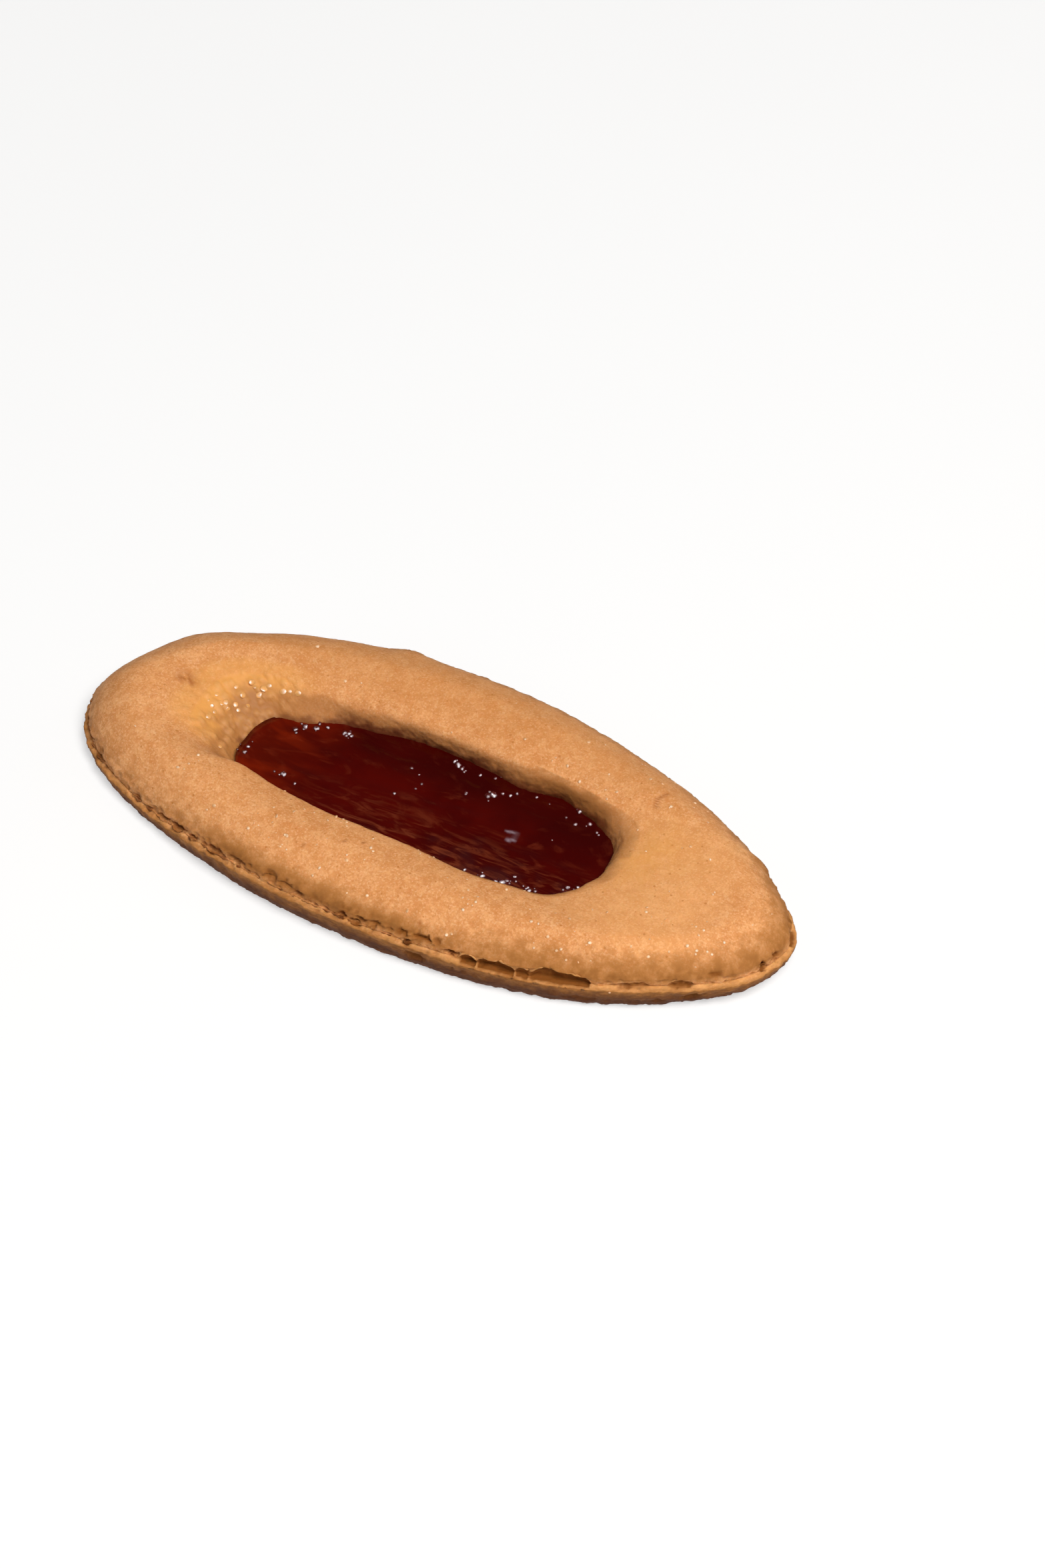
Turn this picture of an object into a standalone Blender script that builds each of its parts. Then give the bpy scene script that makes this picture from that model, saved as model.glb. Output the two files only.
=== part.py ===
"""A boat-shaped sponge biscuit with a pocket of jam, lying flat on its base.

+X is the narrower tip, +Z is up, and the origin is under the middle of the biscuit, on what it lies on.
Sizes are millimetres here and turn into metres where a mesh is made. Places round the outline are angles
in degrees: 0 is the tip at +X, 90 the middle of the +Y side, and 270 the middle of the -Y side.
"""

import math
import random

import bmesh
import bpy

MM = 0.001

# The outline at its widest, the thin lip that runs round the biscuit's side
HALF_LENGTH = 35.0
HALF_WIDTH = 15.9
BOAT_POWER = 2.07
BOAT_FULLNESS = 0.545
# Where the side swells or falls in: the place round the outline, how wide, and how far out
BULGES = (
    (2, 15, 0.6),
    (30, 22, -1.0),
    (60, 22, -0.8),
    (90, 22, 0.4),
    (120, 22, 0.6),
    (165, 15, -0.4),
    (200, 18, 0.5),
    (235, 18, -0.5),
    (270, 22, -0.4),
    (340, 12, 0.6),
)

# Heights above what the biscuit lies on
LIP_HEIGHT = 2.85
DOME_RISE = 3.8
POCKET_DROP = 0.8
FLOOR_HEIGHT = 1.4
JAM_HEIGHT = 3.5

# The dome climbs from the lip to its crest over this distance inwards
SHOULDER_WIDTH = 5.1
SHOULDER_POWER = 1.55

# The underside from its flat base out to the lip: how far in from the outline, and how high
UNDERSIDE = ((1.25, 0.0), (0.75, 0.3), (0.42, 1.0), (0.15, 1.9), (0.0, 2.5))
LIP_TOP_INSET = 0.1
SKIRT_INSET = 0.14

# The crevice between the lip and the dome, and the slots and pits torn in it
CREVICE_DEPTH = 0.35
CREVICE_RISE = 0.12
# A slot's roof and the dome's lower edge over it, as shares of the slot's height and depth
ROOF_SHARE = 0.8
ROOF_DEPTH_SHARE = 0.85
SKIRT_PULL = 0.35
SKIRT_LIFT = 0.25
SLOT_ARCH_POWER = 0.7
SLOTS = (
    # place along the rim from the +X tip by the -Y side, half length, height, depth
    (12.0, 2.4, 0.85, 0.9),
    (23.0, 2.5, 1.0, 1.1),
    (28.0, 1.8, 0.8, 0.9),
    (31.0, 1.3, 0.6, 0.7),
    (35.8, 1.6, 0.6, 0.7),
    (39.6, 1.7, 0.5, 0.6),
    (44.5, 2.0, 0.5, 0.6),
)
SLOTTED_STRETCH = 47.0
SMALL_PITS = 26
SMALL_PIT_HEIGHT = (0.2, 0.55)
SMALL_PIT_HALF_LENGTH = (0.9, 1.9)
PIT_SEED = 11

# The pocket's rim and the jam's edge, out from the origin: towards -X, +X, -Y and +Y
POCKET = (23.7, 17.9, 7.6, 6.3)
POCKET_POWER = 3.0
POCKET_BULGES = ((28, 16, 0.9), (150, 22, 0.9), (235, 22, -0.5), (300, 20, 0.5))
JAM = (19.8, 17.0, 6.9, 5.8)
JAM_POWER = 3.0
JAM_BULGES = ((118, 25, -0.8), (235, 22, -0.4))
JAM_GAP = 0.3
# The pocket's wall: share of the way from the rim to the jam, and share of the way down to the jam
WALL = ((0.1, 0.03), (0.3, 0.17), (0.55, 0.45), (0.8, 0.78))
# How far the jam's top dips towards its middle, how steeply it does so, and the ripples over it
JAM_DIP = 0.25
JAM_DIP_POWER = 4
JAM_RIPPLES = ((0.3, 1.6, 0.0, 0.1),)

# How finely the forms are cut into faces
SECTIONS = 168
DOME_STEPS = (0.055, 0.12, 0.21, 0.33, 0.48, 0.66, 0.84, 1.0)
JAM_SECTIONS = 84
JAM_STEPS = (0.92, 0.78, 0.6, 0.4, 0.2)

# The low swells of the crust: radians a mm along X and along Y, where each starts, and its height
CRUST_SWELLS = ((0.21, 0.1, 0.9, 0.08), (0.12, -0.33, 0.4, 0.05), (0.47, -0.31, 2.1, 0.05))

CRUST_COLOUR = (0.80, 0.45, 0.17, 1.0)
CRUST_ROUGHNESS = 0.8
JAM_COLOUR = (0.10, 0.006, 0.003, 1.0)
JAM_ROUGHNESS = 0.12
SHARP_ANGLE = 60


def clear_scene():
    for thing in list(bpy.data.objects):
        bpy.data.objects.remove(thing, do_unlink=True)


def angles(count):
    return [2 * math.pi * step / count for step in range(count)]


def angle_apart(angle, degrees):
    """How far an angle in radians lies from one in degrees, in degrees and with its sign."""
    return (math.degrees(angle) - degrees + 180) % 360 - 180


def signed_power(value, power):
    return math.copysign(abs(value) ** power, value)


def outward(points):
    """The direction out of a closed outline at each of its points."""
    found = []
    for index in range(len(points)):
        before = points[index - 1]
        after = points[(index + 1) % len(points)]
        along = (after[0] - before[0], after[1] - before[1])
        length = math.hypot(*along)
        found.append((along[1] / length, -along[0] / length))
    return found


def offset(points, distances):
    """A closed outline moved out by a distance for each point."""
    ways = outward(points)
    return [(p[0] + way[0] * d, p[1] + way[1] * d) for p, way, d in zip(points, ways, distances)]


def bulged(points, bulges):
    """A closed outline with smooth swellings at angles round it."""
    out = []
    for angle in angles(len(points)):
        swellings = [size * math.exp(-((angle_apart(angle, at) / width) ** 2)) for at, width, size in bulges]
        out.append(sum(swellings))
    return offset(points, out)


def boat_outline(count):
    """Two pointed bows whose sides bulge unevenly, as the batter ran."""
    points = []
    for angle in angles(count):
        across = (1 - abs(math.cos(angle)) ** BOAT_POWER) ** BOAT_FULLNESS
        side = math.copysign(1, math.sin(angle)) if abs(math.sin(angle)) > 1e-9 else 0.0
        points.append((HALF_LENGTH * math.cos(angle), HALF_WIDTH * side * across))
    return bulged(points, BULGES)


def long_round(count, reach, power):
    """A long rounded outline with its own reach towards -X, +X, -Y and +Y."""
    left, right, near, far = reach
    points = []
    for angle in angles(count):
        c, s = math.cos(angle), math.sin(angle)
        x = (right if c > 0 else left) * signed_power(c, 2 / power)
        y = (far if s > 0 else near) * signed_power(s, 2 / power)
        points.append((x, y))
    return points


def between(first, second, share):
    return [(a[0] + (b[0] - a[0]) * share, a[1] + (b[1] - a[1]) * share) for a, b in zip(first, second)]


def at_height(points, heights):
    return [(x, y, z) for (x, y), z in zip(points, heights)]


def rim_places(points):
    """The distance along the rim from the +X tip to each point, going by the -Y side."""
    places = [0.0]
    for index in range(len(points) - 1, 0, -1):
        here = points[index]
        last = points[(index + 1) % len(points)]
        places.append(places[-1] + math.dist(here, last))
    total = places[-1] + math.dist(points[1], points[0])
    return [places[-index % len(points)] for index in range(len(points))], total


def torn_slots(total):
    """The named slots of the -Y side, and smaller pits over the rest of the way round."""
    chance = random.Random(PIT_SEED)
    found = list(SLOTS)
    spacing = (total - SLOTTED_STRETCH) / SMALL_PITS
    for number in range(SMALL_PITS):
        place = SLOTTED_STRETCH + spacing * (number + chance.uniform(0.2, 0.8))
        height = chance.uniform(*SMALL_PIT_HEIGHT)
        found.append((place, chance.uniform(*SMALL_PIT_HALF_LENGTH), height, height))
    return found


def slot_profile(place, slots, total):
    """How high and how deep the crevice opens at a place along the rim."""
    height = depth = 0.0
    for centre, half_length, slot_height, slot_depth in slots:
        away = abs((place - centre + total / 2) % total - total / 2) / half_length
        arch = max(0.0, 1 - away**2) ** SLOT_ARCH_POWER
        height = max(height, slot_height * arch)
        depth = max(depth, slot_depth * arch)
    return height, depth


def dome_height(inwards, span):
    """Height of the crust at a distance in from the lip, where the pocket's rim is a span away."""
    climb = 1 - min(inwards / SHOULDER_WIDTH, 1)
    height = LIP_HEIGHT + DOME_RISE * (1 - climb**SHOULDER_POWER) ** (1 / SHOULDER_POWER)
    past = max(0.0, (inwards - SHOULDER_WIDTH) / (span - SHOULDER_WIDTH))
    return height - POCKET_DROP * past**2


def wavy(x, y, waves):
    """The height of crossing waves over a point."""
    return sum(height * math.sin(along * x + across * y + start) for along, across, start, height in waves)


def dome_ring(outer, rim, share):
    points = between(outer, rim, share)
    heights = []
    for (x, y), a, b in zip(points, outer, rim):
        span = math.dist(a, b)
        swell = wavy(x, y, CRUST_SWELLS) * min(1.0, share * span / SHOULDER_WIDTH)
        heights.append(dome_height(share * span, span) + swell)
    return at_height(points, heights)


def biscuit_rings():
    """Closed rings of points from the flat base, round the lip and over the dome, into the pocket."""
    outer = boat_outline(SECTIONS)
    places, total = rim_places(outer)
    slots = torn_slots(total)
    opened = [slot_profile(place, slots, total) for place in places]

    rings = []
    for inset, height in UNDERSIDE:
        rings.append(at_height(offset(outer, [-inset] * SECTIONS), [height] * SECTIONS))
    rings.append(at_height(offset(outer, [-LIP_TOP_INSET] * SECTIONS), [LIP_HEIGHT] * SECTIONS))

    depths = [CREVICE_DEPTH + depth for _, depth in opened]
    floor_heights = [LIP_HEIGHT + CREVICE_RISE] * SECTIONS
    roof_heights = [LIP_HEIGHT + 2 * CREVICE_RISE + ROOF_SHARE * height for height, _ in opened]
    rings.append(at_height(offset(outer, [-depth for depth in depths]), floor_heights))
    rings.append(at_height(offset(outer, [-ROOF_DEPTH_SHARE * depth for depth in depths]), roof_heights))

    rim = bulged(long_round(SECTIONS, POCKET, POCKET_POWER), POCKET_BULGES)
    skirt = [SKIRT_INSET + SKIRT_PULL * height for height, _ in opened]
    skirt_heights = [
        dome_height(inset, math.dist(a, b)) + SKIRT_LIFT * height
        for inset, a, b, (height, _) in zip(skirt, outer, rim, opened)
    ]
    rings.append(at_height(offset(outer, [-inset for inset in skirt]), skirt_heights))

    for share in DOME_STEPS:
        rings.append(dome_ring(outer, rim, share))
    rim_heights = [point[2] for point in rings[-1]]

    foot = offset(bulged(long_round(SECTIONS, JAM, JAM_POWER), JAM_BULGES), [JAM_GAP] * SECTIONS)
    for inwards, down in WALL:
        heights = [top + (JAM_HEIGHT - top) * down for top in rim_heights]
        rings.append(at_height(between(rim, foot, inwards), heights))
    rings.append(at_height(foot, [JAM_HEIGHT] * SECTIONS))
    rings.append(at_height(foot, [FLOOR_HEIGHT] * SECTIONS))
    return rings


def jam_rings():
    """Closed rings of points up the jam's side and in over its top, which dips to the middle."""
    edge = bulged(long_round(JAM_SECTIONS, JAM, JAM_POWER), JAM_BULGES)
    middle = [(0.5 * (JAM[1] - JAM[0]), 0.5 * (JAM[3] - JAM[2]))] * JAM_SECTIONS
    rings = [at_height(edge, [FLOOR_HEIGHT + JAM_GAP] * JAM_SECTIONS)]
    rings.append(at_height(edge, [JAM_HEIGHT] * JAM_SECTIONS))
    for share in JAM_STEPS:
        points = between(middle, edge, share)
        level = JAM_HEIGHT - JAM_DIP * (1 - share**JAM_DIP_POWER)
        heights = [level + wavy(x, y, JAM_RIPPLES) for x, y in points]
        rings.append(at_height(points, heights))
    return rings


def loft(name, rings):
    """A solid through closed rings of points, its two ends closed flat."""
    made = bmesh.new()
    rows = [[made.verts.new([value * MM for value in point]) for point in ring] for ring in rings]
    for lower, upper in zip(rows, rows[1:]):
        for index in range(len(lower)):
            after = (index + 1) % len(lower)
            made.faces.new((lower[index], lower[after], upper[after], upper[index]))
    for row in (rows[0], rows[-1]):
        ends = made.faces.new(row)
        bmesh.ops.poke(made, faces=[ends])
    bmesh.ops.recalc_face_normals(made, faces=made.faces)
    mesh = bpy.data.meshes.new(name)
    made.to_mesh(mesh)
    made.free()
    mesh.shade_smooth()
    mesh.set_sharp_from_angle(angle=math.radians(SHARP_ANGLE))
    return bpy.data.objects.new(name, mesh)


def material(name, colour, roughness):
    made = bpy.data.materials.new(name)
    made.use_nodes = True
    surface = made.node_tree.nodes["Principled BSDF"]
    surface.inputs["Base Color"].default_value = colour
    surface.inputs["Roughness"].default_value = roughness
    surface.inputs["Metallic"].default_value = 0.0
    made.diffuse_color = colour
    return made


def biscuit():
    made = loft("biscuit", biscuit_rings())
    made.data.materials.append(material("baked_crust", CRUST_COLOUR, CRUST_ROUGHNESS))
    return made


def jam():
    made = loft("jam", jam_rings())
    made.data.materials.append(material("red_jam", JAM_COLOUR, JAM_ROUGHNESS))
    return made


def centred(things):
    """Moves the pieces together so that the middle of their box stands over the origin."""
    corners = [corner for thing in things for corner in (vertex.co for vertex in thing.data.vertices)]
    middle_x = 0.5 * (max(corner.x for corner in corners) + min(corner.x for corner in corners))
    middle_y = 0.5 * (max(corner.y for corner in corners) + min(corner.y for corner in corners))
    for thing in things:
        for vertex in thing.data.vertices:
            vertex.co.x -= middle_x
            vertex.co.y -= middle_y


def main():
    clear_scene()
    collection = bpy.data.collections.new("jam_boat_biscuit")
    bpy.context.scene.collection.children.link(collection)
    pieces = (biscuit(), jam())
    centred(pieces)
    for piece in pieces:
        collection.objects.link(piece)


main()
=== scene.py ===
"""The looks of a boat-shaped sponge biscuit with a pocket of jam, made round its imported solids.

+X is the narrower tip, the viewer is on the -Y side, and +Z is up. Sizes are millimetres here and turn
into metres where a mesh is made. Places round an outline are angles in degrees: 0 is the tip at +X, 90
the middle of the +Y side, and 270 the middle of the -Y side. A place along the rim is a distance from
the +X tip, going by the -Y side.
"""

import math
import random

import bmesh
import bpy
import numpy as np
from mathutils import Matrix, Vector, noise


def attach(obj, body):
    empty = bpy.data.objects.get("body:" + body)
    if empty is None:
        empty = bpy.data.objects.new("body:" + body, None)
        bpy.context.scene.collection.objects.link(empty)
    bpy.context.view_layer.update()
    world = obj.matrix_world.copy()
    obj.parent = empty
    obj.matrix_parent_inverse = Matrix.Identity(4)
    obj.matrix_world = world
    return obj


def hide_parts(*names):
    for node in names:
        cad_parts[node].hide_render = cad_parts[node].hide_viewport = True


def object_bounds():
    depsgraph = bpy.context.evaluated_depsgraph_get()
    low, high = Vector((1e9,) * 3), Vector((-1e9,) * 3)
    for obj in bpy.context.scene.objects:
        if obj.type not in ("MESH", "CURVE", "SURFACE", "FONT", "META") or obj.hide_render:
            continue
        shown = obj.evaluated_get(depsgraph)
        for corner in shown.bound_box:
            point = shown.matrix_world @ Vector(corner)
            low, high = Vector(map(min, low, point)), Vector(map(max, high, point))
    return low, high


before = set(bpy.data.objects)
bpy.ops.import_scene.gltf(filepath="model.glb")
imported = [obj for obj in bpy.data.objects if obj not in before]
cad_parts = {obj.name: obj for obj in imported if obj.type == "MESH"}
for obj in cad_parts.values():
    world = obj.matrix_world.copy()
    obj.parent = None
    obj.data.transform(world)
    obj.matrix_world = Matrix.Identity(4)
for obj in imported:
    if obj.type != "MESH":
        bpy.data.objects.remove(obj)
cad_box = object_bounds()

MM = 0.001

# The outline at its widest, and where it swells or falls in: place, width and size
HALF_LENGTH = 35.0
HALF_WIDTH = 15.9
BOAT_POWER = 2.07
BOAT_FULLNESS = 0.545
BULGES = (
    (2, 15, 0.6),
    (30, 22, -1.0),
    (60, 22, -0.8),
    (90, 22, 0.4),
    (120, 22, 0.6),
    (165, 15, -0.4),
    (200, 18, 0.5),
    (235, 18, -0.5),
    (270, 22, -0.4),
    (340, 12, 0.6),
)
# How far the middle of the solids' box lies from where the outlines are centred
BOX_MIDDLE = (0.21, 0.418)

# Heights above what the biscuit lies on
UNDER_TOP = 2.8
LIP_HEIGHT = 2.85
FLOOR_HEIGHT = 1.4
JAM_HEIGHT = 3.5
# The dome rises from the lip over its shoulder, and falls a little towards the pocket
DOME_RISE = 3.8
POCKET_DROP = 0.8
SHOULDER_WIDTH = 5.1
SHOULDER_POWER = 1.55

# The underside's round from the base to the lip
BASE_INSET = 1.15
UNDER_ROUND = (0.5, 1.2)
# Where the underside is cut further in, or less: place along the rim, how wide and how far
BASE_CUTS = ((3.0, 9.0, 1.3), (70.0, 12.0, -0.45))
# The lip rounds in and up from the outline to the crevice: how far in, and how high
LIP_ROUND = ((0.02, 2.88), (0.07, 2.97), (0.16, 3.06), (0.27, 3.13), (0.4, 3.18))
# The lip runs lower round the -X end: from place to place it sinks, and from place to place it rises
LIP_DROP = 1.2
LIP_DROP_PLACES = (53.0, 68.0, 82.0, 92.0)

# The crevice between the lip and the dome, with the slots torn in it
CREVICE_DEPTH = 0.1
CREVICE_RISE = 0.05
SLOT_SILL = 0.35
ROOF_SHARE = 0.75
ROOF_DEPTH_SHARE = 0.6
SKIRT_INSET = 0.46
SKIRT_STAND = 0.08
SKIRT_RISE = 0.1
SKIRT_TURN = 0.07
SLOT_ARCH_POWER = 0.42
SLOTS = (
    # place along the rim, half length, height, depth
    (11.6, 1.1, 0.6, 0.2),
    (15.9, 1.5, 0.3, 0.15),
    (22.2, 2.7, 1.0, 0.65),
    (25.5, 0.6, 0.75, 0.5),
    (27.95, 1.75, 0.8, 0.6),
    (30.55, 0.8, 0.7, 0.55),
)
# Where the side has single pits in place of a crevice: it starts, is full, fades and ends
PITTED_PLACES = (31, 38, 88, 94)
# Stretches in the same terms: browner and paler over the lip, in browning that also carries painted shade,
# and where the pits are soft dimples
BROWNER_PLACES = (32, 38, 54, 60)
PALER_PLACES = (60, 68, 86, 94)
DIMPLED_PLACES = (40, 50, 88, 94)
# The +X tip's stretch fades over the first places and comes back over the second
TIP_PLACES = ((24, 34), (140, 160))
# From here on, small pits are placed by chance
SLOTTED_STRETCH = 93.0
SMALL_PITS = 17
SMALL_PIT_HEIGHT = (0.1, 0.45)
SMALL_PIT_HALF_LENGTH = (0.9, 1.9)
PIT_SEED = 11

# Single pits in the side: place along the rim, level, half length, half height, depth
PITS = (
    (164.4, 3.7, 0.6, 0.3, 0.35),
    (2.2, 3.7, 0.55, 0.45, 0.4),
    (3.7, 3.6, 0.35, 0.5, 0.5),
    (8.1, 4.2, 0.7, 0.3, 0.25),
    (6.8, 1.0, 0.8, 0.35, 0.3),
    (10.6, 1.9, 1.0, 0.45, 0.35),
    (13.6, 1.4, 0.6, 0.3, 0.2),
    (20.0, 1.3, 1.8, 0.2, 0.15),
    (30.0, 1.8, 1.8, 0.16, 0.2),
    (32.0, 3.6, 0.7, 0.3, 0.4),
    (33.3, 4.3, 0.4, 0.25, 0.25),
    (34.7, 4.1, 1.0, 0.35, 0.4),
    (35.3, 1.9, 1.0, 0.45, 0.35),
    (36.3, 3.2, 0.4, 0.2, 0.25),
    (36.6, 4.0, 0.6, 0.3, 0.35),
    (39.4, 3.9, 0.5, 0.3, 0.4),
    (40.9, 3.8, 0.6, 0.25, 0.3),
    (41.4, 3.3, 0.4, 0.2, 0.25),
    (42.7, 3.4, 0.4, 0.25, 0.3),
    (47.3, 3.6, 0.5, 0.3, 0.4),
    (48.9, 3.9, 0.7, 0.3, 0.35),
    (50.4, 4.0, 0.7, 0.5, 0.35),
    (54.2, 3.7, 0.8, 0.35, 0.35),
    (57.0, 3.4, 0.9, 0.4, 0.3),
    (59.5, 3.4, 0.5, 0.3, 0.3),
    (61.6, 3.4, 0.9, 0.35, 0.4),
    (63.4, 3.4, 0.7, 0.3, 0.35),
)

# A pit's ragged edge: how strong, how wide its waves are, and its least and most
PIT_EDGE = (0.9, 0.5, -0.6, 0.9)
PIT_POWER = 0.7
PIT_DEEPENING = 1.4

# Knobs on the far side, in the same terms, with how far they stand out
KNOBS = (
    (93.0, 4.4, 3.5, 1.6, 0.3),
    (113.6, 4.4, 2.0, 1.2, 0.4),
    (156.6, 4.4, 1.2, 1.2, 0.3),
)

# The pocket's rim and the jam's edge, from where the outlines are centred to -X, +X, -Y and +Y
POCKET = (23.7, 17.9, 7.6, 6.3)
POCKET_POWER = 3.0
POCKET_BULGES = (
    (28, 16, 0.9),
    (150, 22, 0.9),
    (233, 8, -0.5),
    (244, 24, -1.3),
    (268, 5, -0.4),
    (275, 6, -0.3),
    (297, 8, -0.25),
    (300, 20, 0.3),
    (317, 10, 0.45),
    (343, 8, -0.4),
)
JAM = (18.8, 17.0, 6.9, 5.8)
JAM_POWER = 3.0
JAM_BULGES = (
    (55, 12, -0.3),
    (72, 32, 0.7),
    (74, 12, -1.1),
    (67, 10, 0.7),
    (100, 12, 0.6),
    (118, 25, -0.8),
    (118, 8, 0.5),
    (140, 10, -0.4),
    (165, 16, -0.3),
    (235, 22, -0.4),
)
# The curve of the wall from the pocket's rim down to the jam
WALL_POWER = 1.42
# How far the jam reaches into the wall
JAM_OVERLAP = 0.4

# Uneven relief of the crust: how far it stands out, and how wide its waves are
TOP_WAVES = (0.05, 3.2)
TOP_RIPPLES = (0.022, 0.9)
WALL_WAVES = (0.09, 1.3)
SIDE_WAVES = (0.10, (1.1, 1.1, 0.8))
UNDER_WAVES = (0.07, (0.5, 0.5, 1.4))
LIP_WAVES = (0.07, (0.5, 0.5, 0.35))
# Bubbles torn open in the side, and the syrup's bumps on the wall: how deep or high, and how wide
FOAM = (0.2, (0.7, 0.7, 0.5))
PORES = (0.12, (0.5, 0.5, 0.4))
BUMPS = (0.24, (0.8, 0.8, 0.8))
# Levels where foam and the lip's waves start, are full, fade and end, and places where foam starts
FOAM_LEVELS = (LIP_HEIGHT, LIP_HEIGHT + 0.3, LIP_HEIGHT + 1.0, LIP_HEIGHT + 2.0)
LIP_LEVELS = (2.2, 2.7, 3.2, 4.2)
FOAM_PLACES = (30, 36)
# Each kind of bubble has its own part of the noise
PORES_START = 31.0
BUMPS_START = 7.0
# Ripples of the jam's top: how high, and how wide
JAM_RIPPLES = ((0.10, (5.5, 1.6, 2.0)), (0.03, (1.6, 0.8, 1.0)))

# How finely the biscuit and the jam are cut: points round, rows of points, and how the rows crowd
SECTIONS = 900
BASE_SHARES = (0.35, 0.7, 0.9, 0.97)
UNDER_ROWS = 13
UNDER_SPACING = 1.3
CREVICE_ROWS = 5
SKIRT_ROWS = 6
DOME_ROWS = 40
DOME_SPACING = 1.35
WALL_ROWS = 24
JAM_SECTIONS = 560
JAM_ROWS = 44
# Points of an outline before it is walked evenly
DENSE = 7200
# How often the rows are eased to round the pocket's rim
RIM_SOFTENING = 90

# Bubbles in the jam, most of them along its edges, and beads of syrup on the pocket's -X wall.
# Each is x, y and radius, where x and y start from the frame's origin.
JAM_BUBBLES = (
    (-18.8, -1.7, 0.22), (-18.7, -2.5, 0.26), (-15.9, 2.3, 0.28), (-15.2, 2.8, 0.28), (-14.2, 3.2, 0.28),
    (-14.2, 3.9, 0.2), (-13.4, 3.8, 0.2), (-12.7, 5.0, 0.18), (-11.7, 3.9, 0.3), (-11.3, 4.0, 0.22),
    (-10.9, 3.8, 0.22), (-14.1, -3.2, 0.28), (-14.9, -3.1, 0.16), (-12.6, -3.6, 0.18), (-4.3, 2.9, 0.18),
    (-3.3, 2.5, 0.12), (-4.1, -0.5, 0.18), (-2.8, 0.9, 0.14), (-2.6, 1.7, 0.16), (-1.2, 5.3, 0.22),
    (-0.7, 5.0, 0.32), (-0.2, 4.9, 0.22), (1.5, 2.5, 0.2), (1.6, 5.0, 0.18), (3.1, 5.2, 0.16),
    (3.5, 5.5, 0.14), (3.4, 3.1, 0.3), (3.7, 3.4, 0.36), (4.5, 3.9, 0.2), (5.2, 4.0, 0.18), (5.6, 4.4, 0.2),
    (7.4, 4.9, 0.18), (8.8, 4.8, 0.12), (10.7, 3.9, 0.16), (11.6, 4.8, 0.26), (11.8, 3.5, 0.2),
    (13.1, 4.2, 0.22), (14.1, 3.6, 0.2), (14.4, 3.5, 0.16), (10.8, 1.0, 0.12), (5.7, -5.7, 0.2),
    (6.5, -6.0, 0.14), (7.5, -5.7, 0.24), (8.2, -6.0, 0.2), (8.8, -5.7, 0.26), (9.3, -5.6, 0.34),
    (9.6, -5.2, 0.28), (9.0, -5.3, 0.2), (10.0, -4.5, 0.2), (10.3, -4.8, 0.14), (11.6, -5.3, 0.24),
    (12.0, -5.5, 0.3), (12.4, -5.1, 0.22), (14.1, -4.7, 0.24), (14.7, -4.2, 0.28), (14.9, -3.7, 0.26),
    (15.4, -3.0, 0.2),
)
SYRUP_BEADS = (
    (-22.9, -1.4, 0.28), (-22.6, -0.6, 0.22), (-22.6, 0.6, 0.3), (-21.6, 1.3, 0.26), (-21.4, 2.3, 0.3),
    (-22.2, 2.7, 0.2), (-21.2, 3.8, 0.3), (-20.1, 3.9, 0.34), (-19.7, 4.3, 0.24), (-18.3, 4.4, 0.3),
    (-17.7, 4.6, 0.22), (-17.0, 4.8, 0.28), (-23.3, 1.0, 0.2), (-23.2, -0.3, 0.2), (-23.5, 0.1, 0.16),
    (-22.4, 0.8, 0.28), (-20.8, 3.6, 0.22), (-20.2, 3.2, 0.32), (-21.8, 0.5, 0.22), (-20.5, -3.3, 0.18),
    (-20.6, 2.0, 0.22), (-21.1, 1.1, 0.2),
)
# Burnt specks and a smudge in the crust: x and y, and for the smudge its half length and half width.
# These and the stain, the crease and the squiggle start from where the outlines are centred.
SPECK_RADIUS = 0.16
SPECKS = ((-6.7, -11.6), (-2.1, -9.1), (-3.6, -9.7), (6.1, -13.9))
SMUDGE = (-25.9, 1.1, 1.1, 0.75)
# A pale stain of syrup beyond the pocket's +X end, in the same terms
SYRUP_STAIN = (20.6, 1.2, 3.2, 4.2)
# Where the syrup at the pocket's -X end starts and is full, towards -X and towards +Y
SYRUP_CORNER = ((13.5, 19.5), (-5.0, -1.5))
# Where light is painted on the dome, making it paler, along x and along y: it starts, is full, fades and
# ends
PAINTED_LIGHT_AREA = ((12.0, 22.0, 26.0, 31.0), (-11.0, -7.0, 3.0, 8.0))
# A crease in the crust at the pocket's far +X corner, darkened with painted shade, and a squiggle of
# painted reflection on the jam
CREASE = ((19.0, 8.4), (18.5, 7.4), (18.7, 6.6))
PAINTED_REFLECTION_PATH = ((7.2, 0.5), (7.8, 0.7), (7.9, 0.0), (7.6, -0.4), (8.1, -0.1))
CREASE_DEPTH = 0.1
PAINTED_REFLECTION_WIDTH = 0.12
# Where sugar lies close together, from the frame's origin
SUGAR_CLUSTERS = (
    (-12.3, -11.6), (-10.8, -10.4), (-9.6, -12.1), (-9.0, -11.8), (-8.2, -12.5), (-6.0, -7.8), (-4.8, -8.1),
    (-1.0, -10.1), (3.2, -8.0), (8.7, -12.3), (9.0, -11.5), (9.8, -10.7), (14.0, -9.8), (19.7, -12.1),
    (19.8, -7.2), (23.1, -12.3), (25.3, -5.4), (27.5, -5.0), (28.5, -5.4), (29.1, -6.6), (31.1, -4.8),
)
SUGAR_GRAINS = 100
SUGAR_SIZE = (0.11, 0.29)
SUGAR_SEED = 5
SUGAR_GLINT = (0.55, 0.95)
# Beads: flatness, lumps, how many smaller ones lie beside a large one, and the reach of the glint
BUBBLE_FORM = (0.7, 0.35, 2, (0.8, 0.985))
BUBBLE_SEED = 3
SYRUP_FORM = (0.24, 0.12, 0, (0.93, 1.0))
SYRUP_SEED = 4
LARGE_BEAD = 0.21
# Which way the pale glints on the beads and the sugar face
GLINT_WAY = Vector((0.358, -0.461, 0.811))

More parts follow.
